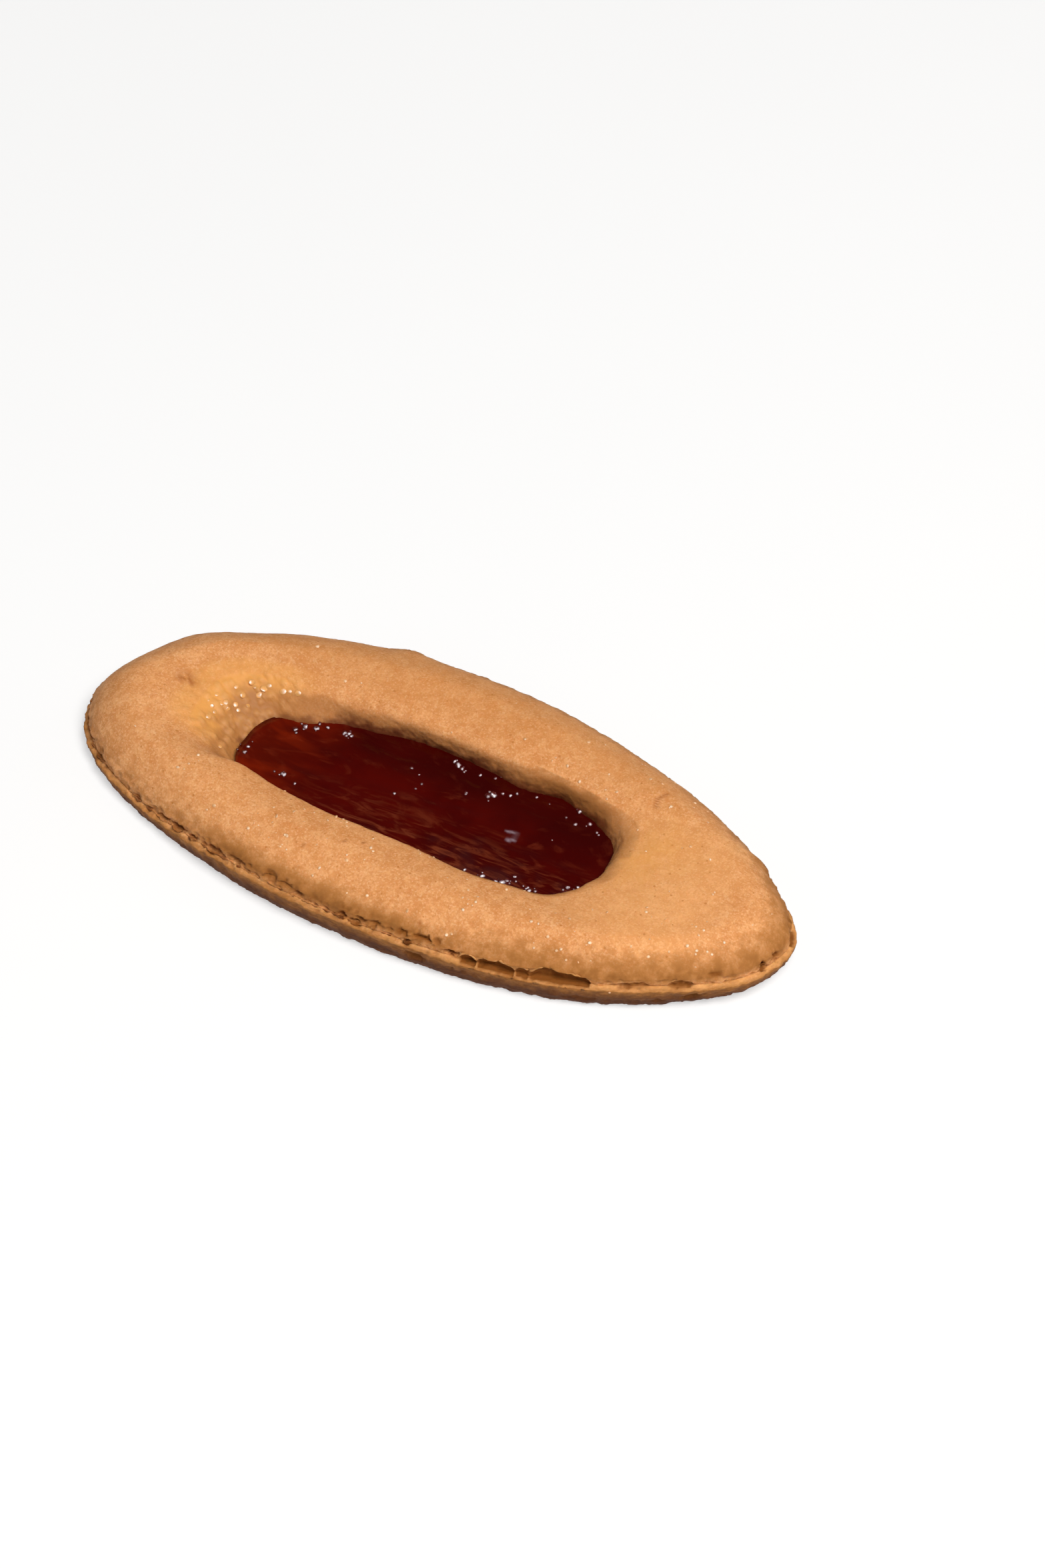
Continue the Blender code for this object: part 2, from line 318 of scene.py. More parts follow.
# Slow swells of the dome: waves along x and y, where they start, and their height
CRUST_SWELLS = ((0.21, 0.1, 0.9, 0.08), (0.12, -0.33, 0.4, 0.05), (0.47, -0.31, 2.1, 0.05))
# The jam's top sinks towards its middle and climbs a little at its edge: how high, and how wide
JAM_DIP = 0.25
JAM_DIP_POWER = 4
JAM_CLIMB = (0.12, 0.7)

# Colours of the crust, from the dome to the underside, and those of the wet wall
GOLDEN = (0.77, 0.34, 0.12)
GOLDEN_PATCH = (0.70, 0.29, 0.094)
CRUST_MOTTLES = (
    # noise's scale, detail and roughness; where it starts, is full, and how strong; colour
    ((0.8, 5.0, 0.65), (0.42, 0.6, 0.6), (0.87, 0.43, 0.18)),
    ((1.7, 4.0, 0.6), (0.46, 0.66, 0.5), (0.67, 0.255, 0.075)),
    ((4.6, 3.0, 0.65), (0.46, 0.66, 0.5), (0.60, 0.21, 0.05)),
    ((5.5, 1.0, 0.5), (0.5, 0.72, 0.4), (0.95, 0.58, 0.31)),
)
# Painted light on the +X dome, and painted shade on its far side
PAINTED_LIGHT_DOME = (0.96, 0.46, 0.165)
PAINTED_FAR_SHADE_DOME = (0.60, 0.235, 0.06)
# Painted shade in the pores
PAINTED_PORE_SHADE = (0.52, 0.17, 0.03)
# Browning, which also stands for painted shade along the shoulder and towards the base
BROWN_AND_SHADE = (0.40, 0.155, 0.035)
DARK_BROWN_AND_SHADE = (0.080, 0.021, 0.004)
STREAK = (0.15, 0.045, 0.008)
TORN_EDGE = (0.76, 0.38, 0.125)
# Painted shade in the pits, the foam, the slots and the crevice
PAINTED_HOLLOW_SHADE = (0.22, 0.066, 0.006)
# The wall's soaking, which also carries painted shade
SOAKED_AND_SHADED_WALL = (0.40, 0.155, 0.04)
SYRUP = (0.82, 0.37, 0.09)
SYRUP_SOAKED_AND_SHADED = (0.42, 0.165, 0.045)
# Painted light on the tops of the syrup's bumps
SYRUP_BUMP_PAINTED_LIGHT = (0.80, 0.42, 0.16)
JAM_FRINGE = (0.10, 0.014, 0.003)
# Burnt marks, and painted shade in the crease
BURNT_AND_CREASE_SHADE = (0.40, 0.12, 0.025)

# Colours of the jam
JAM_DEEP = (0.075, 0.0014, 0.0002)
JAM_DEEPEST = (0.048, 0.0004, 0.0001)
JAM_WISP = (0.12, 0.014, 0.005)
# Painted reflections in streaks and violet clouds along the jam's near edge
JAM_STREAK_REFLECTION = (0.16, 0.028, 0.010)
JAM_VIOLET_REFLECTION = (0.045, 0.010, 0.010)
# Painted shade along the jam's far edge
JAM_FAR_SHADE = (0.03, 0.0004, 0.0001)
JAM_GLOW = (0.24, 0.016, 0.001)
# Painted reflection on the jam
JAM_PAINTED_REFLECTION = (0.32, 0.24, 0.28)

# Beads and sugar: the body's colour, the glint's colour and the roughness
BUBBLE_LOOK = ((0.09, 0.008, 0.008), (1.0, 0.93, 1.0), 0.1)
SYRUP_LOOK = ((0.86, 0.42, 0.13), (1.0, 0.86, 0.78), 0.25)
SUGAR_LOOK = ((0.84, 0.44, 0.18), (1.0, 0.80, 0.58), 0.4)

# The camera: degrees above and round from -Y, how far off, and how far it is shifted right and up
CAMERA_ELEVATION = 47
CAMERA_AZIMUTH = 27.5
CAMERA_DISTANCE = 400.0
CAMERA_SHIFT = (7.511, 4.159)
CAMERA_SENSOR = 36
CAMERA_LENS = 102.32
CAMERA_NEAREST = 10.0

# The floor's half width, and how far it lies under the biscuit
FLOOR_REACH = 3000.0
FLOOR_GAP = 0.05
FLOOR_GLOW = 0.55
# Lights: the way to them, metres off, metres across, power and colour
LIGHTS = {
    "key": ((0.45, -0.3, 1.0), 0.8, 0.4, 6.6, (1.0, 0.985, 0.96)),
    "fill": ((-0.5, -0.9, 0.7), 1.2, 0.9, 0.8, (0.95, 0.97, 1.0)),
    "far_fill": ((0.9, 0.7, 0.6), 1.2, 0.9, 0.8, (1.0, 0.98, 0.95)),
}
FLOOR_SHADES = ((0.46, 0.46, 0.46), (0.48, 0.48, 0.48))
SKY_COLOUR = (0.95, 0.97, 1.0)
SKY_POWER = 0.06


def turned(angles, at):
    """How far angles in radians lie from a place in degrees, in degrees and with their signs."""
    return (np.degrees(angles) - at + 180) % 360 - 180


def outward(points):
    """The direction out of a closed outline at each of its points."""
    along = np.roll(points, -1, axis=0) - np.roll(points, 1, axis=0)
    ways = np.stack([along[:, 1], -along[:, 0]], axis=1)
    return ways / np.linalg.norm(ways, axis=1, keepdims=True)


def bulged(points, angles, bulges):
    """A closed outline with smooth swellings at places round it."""
    swelling = sum(size * np.exp(-((turned(angles, at) / width) ** 2)) for at, width, size in bulges)
    return points + outward(points) * swelling[:, None]


def boat_outline(angles):
    """Two pointed bows whose sides bulge unevenly, as the batter ran."""
    across = (1 - np.abs(np.cos(angles)) ** BOAT_POWER) ** BOAT_FULLNESS
    points = np.stack([HALF_LENGTH * np.cos(angles), HALF_WIDTH * np.sign(np.sin(angles)) * across], axis=1)
    return bulged(points, angles, BULGES)


def long_round(angles, reach, power, bulges):
    """A long rounded outline with its own reach towards -X, +X, -Y and +Y."""
    left, right, near, far = reach
    c, s = np.cos(angles), np.sin(angles)
    x = np.where(c > 0, right, left) * np.sign(c) * np.abs(c) ** (2 / power)
    y = np.where(s > 0, far, near) * np.sign(s) * np.abs(s) ** (2 / power)
    return bulged(np.stack([x, y], axis=1), angles, bulges)


def lengths(points):
    """The distance along a closed outline to each of its points and back to the first."""
    steps = np.linalg.norm(np.roll(points, -1, axis=0) - points, axis=1)
    return np.concatenate([[0.0], np.cumsum(steps)])


def quarters(points):
    return lengths(points)[:: len(points) // 4]


def even_stations(points, count):
    """Stations at even distances round an outline, where 0 to 4 count its quarters."""
    total = lengths(points)[-1]
    return np.interp(np.arange(count) * total / count, quarters(points), np.arange(5))


def at_stations(points, stations):
    """The points of a closed outline at stations, each quarter walked evenly."""
    along = np.interp(stations, np.arange(5), quarters(points))
    closed = np.vstack([points, points[:1]])
    return np.stack([np.interp(along, lengths(points), closed[:, axis]) for axis in (0, 1)], axis=1)


def smooth(values, low, high):
    """0 below low, 1 above high, and a soft climb between."""
    share = np.clip((values - low) / (high - low), 0, 1)
    return share * share * (3 - 2 * share)


def between(values, start, full, fades, end):
    """1 in a stretch and 0 outside it, with a soft climb and a soft fall."""
    return smooth(values, start, full) * (1 - smooth(values, fades, end))


def each(function, points, scale):
    """A noise function's value at every point of an array, whose last axis is a place."""
    flat = (points.reshape(-1, 3) / np.asarray(scale)).tolist()
    return np.array([function(place) for place in flat]).reshape(points.shape[:-1])


def rough(points, scale, octaves=3):
    return each(lambda place: noise.fractal(place, 0.7, 2.1, octaves), points, scale)


def uneven(points, waves, octaves=3):
    """Rough relief of a height and a width."""
    height, scale = waves
    return height * rough(points, scale, octaves)


def single(place):
    """One cell of bubbles: 1 in the middle of a bubble and 0 outside it, with some cells left empty."""
    distances, centres = noise.voronoi(place)
    size = noise.cell(centres[0] * 37.7)
    return max(0.0, 1 - (distances[0] / (0.4 + 0.35 * abs(size))) ** 2) if size > -0.4 else 0.0


def bubbled(points, scale):
    return each(single, points, scale)


def with_height(points, heights):
    return np.column_stack([points, np.broadcast_to(heights, len(points))])


def torn_slots(total):
    """The named slots of the near side, and smaller pits over the rest of the way round."""
    chance = random.Random(PIT_SEED)
    found = list(SLOTS)
    spacing = (total - SLOTTED_STRETCH) / SMALL_PITS
    for number in range(SMALL_PITS):
        place = SLOTTED_STRETCH + spacing * (number + chance.uniform(0.2, 0.8))
        height = chance.uniform(*SMALL_PIT_HEIGHT)
        found.append((place, chance.uniform(*SMALL_PIT_HALF_LENGTH), height, height))
    return found


def apart(places, centre, total):
    return (places - centre + total / 2) % total - total / 2


def off_spot(rim, level, spot):
    """How far points of the side lie from a spot on it, squared, where 1 is the edge of the spot."""
    place, height, half_length, half_height = spot
    along = apart(rim.places, place, rim.total)
    return (along / half_length) ** 2 + ((level - height) / half_height) ** 2


def opening(places, total):
    """How high and how deep the crevice opens at places along the rim."""
    height = np.zeros_like(places)
    depth = np.zeros_like(places)
    for centre, half_length, slot_height, slot_depth in torn_slots(total):
        away = apart(places, centre, total) / half_length
        arch = np.maximum(0, 1 - away**2) ** SLOT_ARCH_POWER
        height = np.maximum(height, slot_height * arch)
        depth = np.maximum(depth, slot_depth * arch)
    return height, depth


def dome_height(inwards, span):
    """Height of the crust at a distance in from the lip, where the pocket's rim is a span away."""
    climb = 1 - np.minimum(inwards / SHOULDER_WIDTH, 1)
    height = LIP_HEIGHT + DOME_RISE * (1 - climb**SHOULDER_POWER) ** (1 / SHOULDER_POWER)
    past = np.maximum(0, (inwards - SHOULDER_WIDTH) / (span - SHOULDER_WIDTH))
    return height - POCKET_DROP * past**2


def dome_inset(height):
    """How far in from the lip the crust reaches a height on its shoulder."""
    share = np.clip((height - LIP_HEIGHT) / DOME_RISE, 0, 1)
    return SHOULDER_WIDTH * (1 - (1 - share**SHOULDER_POWER) ** (1 / SHOULDER_POWER))


def wavy(x, y, waves):
    return sum(height * np.sin(along * x + across * y + start) for along, across, start, height in waves)


def near_path(x, y, path, width):
    """1 on a path of straight stretches seen from above, fading to 0 over a width to its sides."""
    found = np.zeros_like(x)
    for (from_x, from_y), (to_x, to_y) in zip(path[:-1], path[1:]):
        along_x, along_y = to_x - from_x, to_y - from_y
        share = ((x - from_x) * along_x + (y - from_y) * along_y) / (along_x**2 + along_y**2)
        share = np.clip(share, 0, 1)
        away = np.hypot(x - from_x - share * along_x, y - from_y - share * along_y)
        found = np.maximum(found, np.exp(-((away / width) ** 2)))
    return found


def normals(grid):
    """The direction out of a grid of rows of points, which runs round anticlockwise and upwards."""
    around = np.roll(grid, -1, axis=1) - np.roll(grid, 1, axis=1)
    up = np.gradient(grid, axis=0)
    ways = np.cross(around, up)
    return ways / np.maximum(np.linalg.norm(ways, axis=2, keepdims=True), 1e-9)


class Rows:
    """Rows of points up the biscuit's side, each with what its crust looks like there."""

    def __init__(self):
        self.points = []
        self.marks = []

    def add(self, points, **marks):
        self.points.append(points)
        self.marks.append({name: np.broadcast_to(value, len(points)) for name, value in marks.items()})

    def toward(self, points, count, **marks):
        """Rows that lead evenly from the last one to these points."""
        start = self.points[-1]
        before = self.marks[-1]
        for step in range(1, count + 1):
            share = step / count
            halfway = {
                name: before.get(name, 0) * (1 - share) + value * share for name, value in marks.items()
            }
            self.add(start + (points - start) * share, **halfway)

    def grid(self):
        return np.stack(self.points)

    def mark(self, name):
        count = len(self.points[0])
        return np.stack([marks.get(name, np.zeros(count)) for marks in self.marks])


class Rim:
    """The outline at its widest, with the ways out of it and each point's place along it."""

    def __init__(self, boat, stations):
        self.outer = at_stations(boat, stations)
        self.ways = outward(self.outer)
        self.total = lengths(boat)[-1]
        walked = lengths(self.outer)
        self.places = (self.total - walked[:-1] * self.total / walked[-1]) % self.total

    def rough(self, size, start, octaves=2):
        """Noise along the rim, where each start gives another one."""
        return rough(with_height(self.outer, start), (size, size, 1), octaves)

    def inset(self, distances, heights):
        """The outline moved in by a distance and up to a height at each of its points."""
        moved = self.outer - self.ways * np.broadcast_to(distances, SECTIONS)[:, None]
        return with_height(moved, heights)


def add_underside(rows, rim):
    """The flat base, and the side that leans out from it to the lip."""
    cut = sum(
        far * np.exp(-((apart(rim.places, place, rim.total) / wide) ** 2)) for place, wide, far in BASE_CUTS
    )
    base_inset = BASE_INSET + cut + 0.07 * rim.rough(2.5, 21, 4)
    base = rim.inset(base_inset, 0.0)
    for share in BASE_SHARES:
        rows.add(base * share, browned=0.85)
    power, close = UNDER_ROUND
    for step in range(UNDER_ROWS):
        z = UNDER_TOP * (step / (UNDER_ROWS - 1)) ** UNDER_SPACING
        out = rim.inset(base_inset * (1 - (z / UNDER_TOP) ** power) ** close, z)
        browned = 1.08 - 0.4 * smooth(z, 0.4, 2.8)
        upper = smooth(z, 2.2, UNDER_TOP)
        rows.add(out, browned=browned, under=1 - 0.4 * upper, edge=0.12 * upper)


def add_lip_and_skirt(rows, rim):
    """The lip, the crevice behind it, and the skirt over it. Returns how far in the skirt is."""
    height, depth = opening(rim.places, rim.total)
    opened = smooth(depth, 0.0, 0.3)
    height = height * (1 + 0.25 * rim.rough(1.6, 3))
    pitted = between(rim.places, *PITTED_PLACES)
    creviced = smooth(rim.rough(2.6, 9), -0.3, 0.2) * (1 - 0.85 * pitted)
    slot_depth = depth * (1 + 0.25 * rim.rough(1.2, 8))
    depth = CREVICE_DEPTH * creviced * (1 + 0.5 * rim.rough(1.8, 7)) + slot_depth

    lip = 0.05 * rim.rough(1.0, 12) + 0.05 * rim.rough(3.5, 13)
    sill = SLOT_SILL * opened
    pale = 1 - 0.45 * pitted
    # The lip's rows, with painted shade growing towards the crevice where slots open
    for number, (distance, z) in enumerate(LIP_ROUND):
        share = (number + 1) / len(LIP_ROUND)
        rows.add(
            rim.inset(distance - 0.5 * lip, z + (lip - sill) * share),
            browned=0.55 - 0.3 * share,
            under=0.6 - 0.6 * share,
            edge=(0.12 + 0.68 * share) * pale,
            cavity=0.9 * opened * share**3,
        )

    lip_inset, lip_top = LIP_ROUND[-1]
    lip_top = lip_top + lip - sill
    back_height = lip_top + CREVICE_RISE
    rag = (0.04 + 0.06 * opened) * rim.rough(0.7, 15, 3)
    skirt_top = lip_top + SKIRT_RISE * (1 - 0.8 * pitted) + sill + height + rag * (1 - 0.6 * pitted)
    skirt = np.maximum(SKIRT_INSET, dome_inset(skirt_top) - SKIRT_STAND)
    roof = lip_top + CREVICE_RISE + ROOF_SHARE * (skirt_top - lip_top - CREVICE_RISE)
    # The crevice's rows carry painted shade where the slots open
    dark = {"browned": 0.4, "cavity": opened, "edge": 0.0}
    rows.toward(rim.inset(lip_inset + depth, back_height), CREVICE_ROWS, **dark)
    rows.toward(rim.inset(skirt + ROOF_DEPTH_SHARE * depth, roof), CREVICE_ROWS, **dark)
    rows.toward(rim.inset(skirt, skirt_top), CREVICE_ROWS, browned=0.25, cavity=0.0, edge=0.7 * opened)
    return skirt


def add_dome(rows, rim, pocket, skirt):
    """The crust from the skirt over the dome to the pocket's rim."""
    span = np.linalg.norm(pocket - rim.outer, axis=1)
    start = (skirt + SKIRT_TURN) / span

    def dome(share):
        points = rim.outer + (pocket - rim.outer) * share[:, None]
        swell = wavy(points[:, 0], points[:, 1], CRUST_SWELLS)
        swell = swell * np.minimum(1, share * span / SHOULDER_WIDTH)
        return with_height(points, dome_height(share * span, span) + swell)

    # A band of browning and painted shade along the lip, wider towards the +X tip
    tip_fades, tip_returns = TIP_PLACES
    tipward = 1 - smooth(rim.places, *tip_fades) + smooth(rim.places, *tip_returns)
    shaded = 0.42 + 0.12 * tipward + 0.22 * between(rim.places, *BROWNER_PLACES)
    shaded = shaded - 0.15 * between(rim.places, *PALER_PLACES)
    rows.toward(dome(start), SKIRT_ROWS, browned=shaded, edge=0.0)
    for step in range(1, DOME_ROWS + 1):
        share = start + (1 - start) * (step / DOME_ROWS) ** DOME_SPACING
        inwards = share * span
        browned = shaded * (1 - smooth(inwards, 0.2, 2.9 + 1.6 * tipward))
        near_rim = smooth(share, 0.5, 0.95)
        rows.add(dome(share), browned=browned, top=smooth(inwards, 0.4, 1.4), near_rim=near_rim)


def add_wall(rows, foot):
    """The pocket's wall down to the jam's edge, and on down to the floor under the jam."""
    top = rows.points[-1]
    for step in range(1, WALL_ROWS + 1):
        inwards = step / WALL_ROWS
        heights = top[:, 2] + (JAM_HEIGHT - top[:, 2]) * inwards**WALL_POWER
        points = top[:, :2] + (foot - top[:, :2]) * inwards
        near_rim = 1 - smooth(inwards, 0.5, 0.9)
        rows.add(with_height(points, heights), wall=inwards, top=1 - inwards, near_rim=near_rim)
    rows.add(with_height(foot, FLOOR_HEIGHT), wall=1.0)


def biscuit_rows():
    """Rows of points from the middle of the base, up the side, over the dome and into the pocket."""
    angles = np.arange(DENSE) * 2 * math.pi / DENSE
    boat = boat_outline(angles)
    stations = even_stations(boat, SECTIONS)
    rim = Rim(boat, stations)
    pocket = at_stations(long_round(angles, POCKET, POCKET_POWER, POCKET_BULGES), stations)
    foot = at_stations(long_round(angles, JAM, JAM_POWER, JAM_BULGES), stations)
    rows = Rows()
    add_underside(rows, rim)
    skirt = add_lip_and_skirt(rows, rim)
    add_dome(rows, rim, pocket, skirt)
    add_wall(rows, foot)
    return rows, rim


def lip_lowered(grid, places):
    """The side pulled down where the lip runs low, less and less towards the base and the top."""
    drop = LIP_DROP * between(places, *LIP_DROP_PLACES)
    z = grid[:, :, 2]
    pulled = np.minimum(z / UNDER_TOP, 1) * (1 - smooth(z, 3.2, 6.6))
    lowered = grid.copy()
    lowered[:, :, 2] -= drop * pulled
    return lowered


def relief(rows, rim, grid, level):
    """How far the crust stands out of its smooth form, and how much shade is painted into its cavities, at
    each point.
    """
    under = rows.mark("under")
    top = rows.mark("top")
    wall = rows.mark("wall")
    outside = wall == 0
    side = (1 - top) * (1 - wall)
    out = (uneven(grid, TOP_WAVES) + uneven(grid, TOP_RIPPLES)) * np.maximum(top, wall)
    out += uneven(grid, WALL_WAVES) * smooth(wall, 0.3, 0.8)
    out += uneven(grid, SIDE_WAVES) * side
    out += uneven(grid, UNDER_WAVES) * under

    foam_depth, foam_size = FOAM
    foamy = between(level, *FOAM_LEVELS)
    foam = bubbled(grid, foam_size) * foamy * smooth(rim.places, *FOAM_PLACES) * outside
    pore_depth, pore_size = PORES
    pores = bubbled(grid + PORES_START, pore_size) * (side * (1 - under) + 0.35 * under)
    out -= foam_depth * foam + pore_depth * pores
    out += uneven(grid, LIP_WAVES) * between(level, *LIP_LEVELS) * outside

    strength, width, least, most = PIT_EDGE
    edges = np.clip(strength * rough(grid, width), least, most)
    torn = np.zeros_like(out)
    for *spot, depth in PITS:
        inside = np.maximum(0, 1 - off_spot(rim, level, spot) * (1 + edges))
        torn = np.maximum(torn, inside**PIT_POWER * PIT_DEEPENING * depth * outside)
    out -= torn
    for *spot, rise in KNOBS:
        out += rise * np.exp(-off_spot(rim, level, spot)) * outside
    # Painted shade in the foam, the pores and the torn pits, softer where they are dimples
    soft = 1 - 0.35 * between(rim.places, *DIMPLED_PLACES)
    hollow_shade = np.clip(0.75 * foam + 0.4 * pores + 2.6 * torn, 0, 1) * soft
    return out * (level > 0.0), hollow_shade


def made_mesh(name, grid):
    """A closed mesh through rows of points, in metres, with its ends closed by a fan."""
    rows, count = grid.shape[:2]
    points = (grid.reshape(-1, 3) - np.array([*BOX_MIDDLE, 0.0])) * MM
    index = np.arange(rows * count).reshape(rows, count)
    after = np.roll(index, -1, axis=1)
    quads = np.stack([index[:-1], after[:-1], after[1:], index[1:]], axis=2).reshape(-1, 4)
    ends = np.stack([points[index[0]].mean(axis=0), points[index[-1]].mean(axis=0)])
    low, high = rows * count, rows * count + 1
    fans = [(after[0][i], index[0][i], low) for i in range(count)]
    fans += [(index[-1][i], after[-1][i], high) for i in range(count)]
    faces = quads.tolist() + [list(map(int, fan)) for fan in fans]
    mesh = bpy.data.meshes.new(name)
    mesh.from_pydata(np.vstack([points, ends]).tolist(), [], faces)
    mesh.shade_smooth()
    return mesh


def softened(grid, share, turns):
    """Rows of points eased into their neighbours by a share, which rounds the edges between them."""
    for _ in range(turns):
        eased_rows = 0.25 * grid[:-2] + 0.5 * grid[1:-1] + 0.25 * grid[2:]
        grid[1:-1] += (eased_rows - grid[1:-1]) * share[1:-1, :, None]
    return grid


def mark_points(mesh, marks):
    """Stores each mark's number for each point of the mesh, for the materials to read."""
    for name, values in marks.items():
        made = mesh.attributes.new(name, "FLOAT", "POINT")
        flat = np.zeros(len(mesh.vertices), np.float32)
        flat[: values.size] = values.reshape(-1)
        made.data.foreach_set("value", flat)


def linked(name, data):
    made = bpy.data.objects.new(name, data)
    bpy.context.scene.collection.objects.link(made)
    return made


def placed(name, mesh, material):
    piece = linked(name, mesh)
    mesh.materials.append(material)
    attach(piece, "root")
    return piece


def boxed(points):
    """Points in millimetres held inside the solids' box."""
    low = np.array(cad_box[0]) / MM + np.array([*BOX_MIDDLE, 0.0])
    high = np.array(cad_box[1]) / MM + np.array([*BOX_MIDDLE, 0.0])
    return np.clip(points, low, high)


# Materials

def fresh(name):
    made = bpy.data.materials.new(name)
    made.use_nodes = True
    return made, made.node_tree, made.node_tree.nodes["Principled BSDF"]


def put(tree, node, inputs):
    """Sets a shader node's inputs to values, or links them to sockets."""
    for name, value in dict(inputs).items():
        if isinstance(value, bpy.types.NodeSocket):
            tree.links.new(value, node.inputs[name])
        else:
            node.inputs[name].default_value = value


def add(tree, kind, inputs=(), **settings):
    """A new shader node with its settings and inputs."""
    made = tree.nodes.new(kind)
    for name, value in settings.items():
        setattr(made, name, value)
    put(tree, made, inputs)
    return made


def millimetres(tree):
    place = add(tree, "ShaderNodeTexCoord").outputs["Object"]
    scaled = add(tree, "ShaderNodeVectorMath", {0: place, "Scale": 1 / MM}, operation="SCALE")
    return scaled.outputs[0]


def stretched(tree, place, scale, turn=0.0):
    mapped = add(tree, "ShaderNodeMapping", {0: place, "Scale": scale, "Rotation": (0, 0, turn)})
    return mapped.outputs[0]


def speckled(tree, place, scale, detail=3.0, roughness=0.55, distortion=0.0):
    inputs = {
        "Vector": place,
        "Scale": scale,
        "Detail": detail,
        "Roughness": roughness,
        "Distortion": distortion,
    }
    return add(tree, "ShaderNodeTexNoise", inputs).outputs[0]


def eased(tree, value, low, high, to_low=0.0, to_high=1.0):
    inputs = {"Value": value, "From Min": low, "From Max": high, "To Min": to_low, "To Max": to_high}
    return add(tree, "ShaderNodeMapRange", inputs, interpolation_type="SMOOTHSTEP").outputs[0]


def worked(tree, operation, first, second):
    return add(tree, "ShaderNodeMath", {0: first, 1: second}, operation=operation).outputs[0]


def times(tree, first, second):
    return worked(tree, "MULTIPLY", first, second)


def mixed(tree, share, first, second):
    """One colour laid over another by a share, each a socket or red, green and blue."""
    inputs = {0: share}
    for number, shade in ((6, first), (7, second)):
        inputs[number] = shade if isinstance(shade, bpy.types.NodeSocket) else (*shade, 1.0)
    made = add(tree, "ShaderNodeMix", inputs, data_type="RGBA")
    return made.outputs[2]


def stored(tree, name):
    return add(tree, "ShaderNodeAttribute", attribute_name=name).outputs["Fac"]


def pore_dots(tree, place):
    """Small round pores in some cells of the crust, which are darkened with painted shade."""
    cells = add(tree, "ShaderNodeTexVoronoi", {"Vector": place, "Scale": 1.6})
    chosen = add(tree, "ShaderNodeSeparateColor", {0: cells.outputs["Color"]})
    dots = worked(tree, "LESS_THAN", cells.outputs["Distance"], times(tree, chosen.outputs[0], 0.2))
    return times(tree, dots, worked(tree, "GREATER_THAN", chosen.outputs[1], 0.45))


def golden_crust(tree, place, mottles, dots):
    """The dome: golden and mottled, with painted light making it paler towards +X, painted shade making it
    deeper on the far side, and painted shade in its darker pores.
    """
    patches = speckled(tree, place, 0.16, 3.0)
    golden = mixed(tree, eased(tree, patches, 0.35, 0.65), GOLDEN, GOLDEN_PATCH)
    for mottle, (_, (low, high, strength), shade) in zip(mottles, CRUST_MOTTLES):
        golden = mixed(tree, eased(tree, mottle, low, high, 0.0, strength), golden, shade)
    # Painted light towards +X, and painted shade on the far side
    golden = mixed(tree, stored(tree, "painted_light"), golden, PAINTED_LIGHT_DOME)
    golden = mixed(tree, stored(tree, "painted_far_shade"), golden, PAINTED_FAR_SHADE_DOME)
    # Painted shade in the pores of the top
    return mixed(tree, times(tree, dots, times(tree, stored(tree, "top"), 0.6)), golden, PAINTED_PORE_SHADE)


def browned_crust(tree, place, golden, mottle):
    """The side and the underside: browned, in part with painted shade, and streaked, with pale torn edges
    and painted shade in the hollows.
    """
    # Browning together with painted shade, eased by the mottle
    browned = worked(tree, "ADD", stored(tree, "browned"), eased(tree, mottle, 0.3, 0.7, 0.1, -0.1))
    brown = mixed(tree, eased(tree, browned, 0.05, 0.6), golden, BROWN_AND_SHADE)
    brown = mixed(tree, eased(tree, browned, 0.45, 1.0), brown, DARK_BROWN_AND_SHADE)
    streaks = speckled(tree, stretched(tree, place, (0.5, 0.5, 2.6)), 1.6, 5.0, 0.7)
    streaked = times(tree, stored(tree, "under"), eased(tree, streaks, 0.45, 0.62, 0.0, 0.8))
    brown = mixed(tree, streaked, brown, STREAK)
    edge = times(tree, stored(tree, "edge"), eased(tree, streaks, 0.35, 0.65, 1.0, 0.4))
    brown = mixed(tree, edge, brown, TORN_EDGE)
    # Painted shade in the pits, the slots and the crevice
    return mixed(tree, times(tree, stored(tree, "hollow_shade"), 0.95), brown, PAINTED_HOLLOW_SHADE)


def wetted_crust(tree, brown, soaked_and_shaded):
    """The pocket's wall, soaked with syrup, stained by the jam and darkened with painted shade, with
    painted light on its syrup bumps, and the burnt marks and the crease's painted shade on the dome.
    """
    # Soaking and painted shade on the wall
    brown = mixed(tree, soaked_and_shaded, brown, SOAKED_AND_SHADED_WALL)
    syrup = mixed(tree, eased(tree, soaked_and_shaded, 0.0, 0.8), SYRUP, SYRUP_SOAKED_AND_SHADED)
    # Painted light on the tops of the syrup's bumps
    syrup = mixed(tree, times(tree, stored(tree, "bumps_and_painted_light"), 0.45), syrup, SYRUP_BUMP_PAINTED_LIGHT)
    brown = mixed(tree, stored(tree, "wet"), brown, syrup)
    brown = mixed(tree, stored(tree, "fringe"), brown, JAM_FRINGE)
    # Burnt marks, and painted shade in the crease
    return mixed(tree, stored(tree, "smudge_and_crease_shade"), brown, BURNT_AND_CREASE_SHADE)


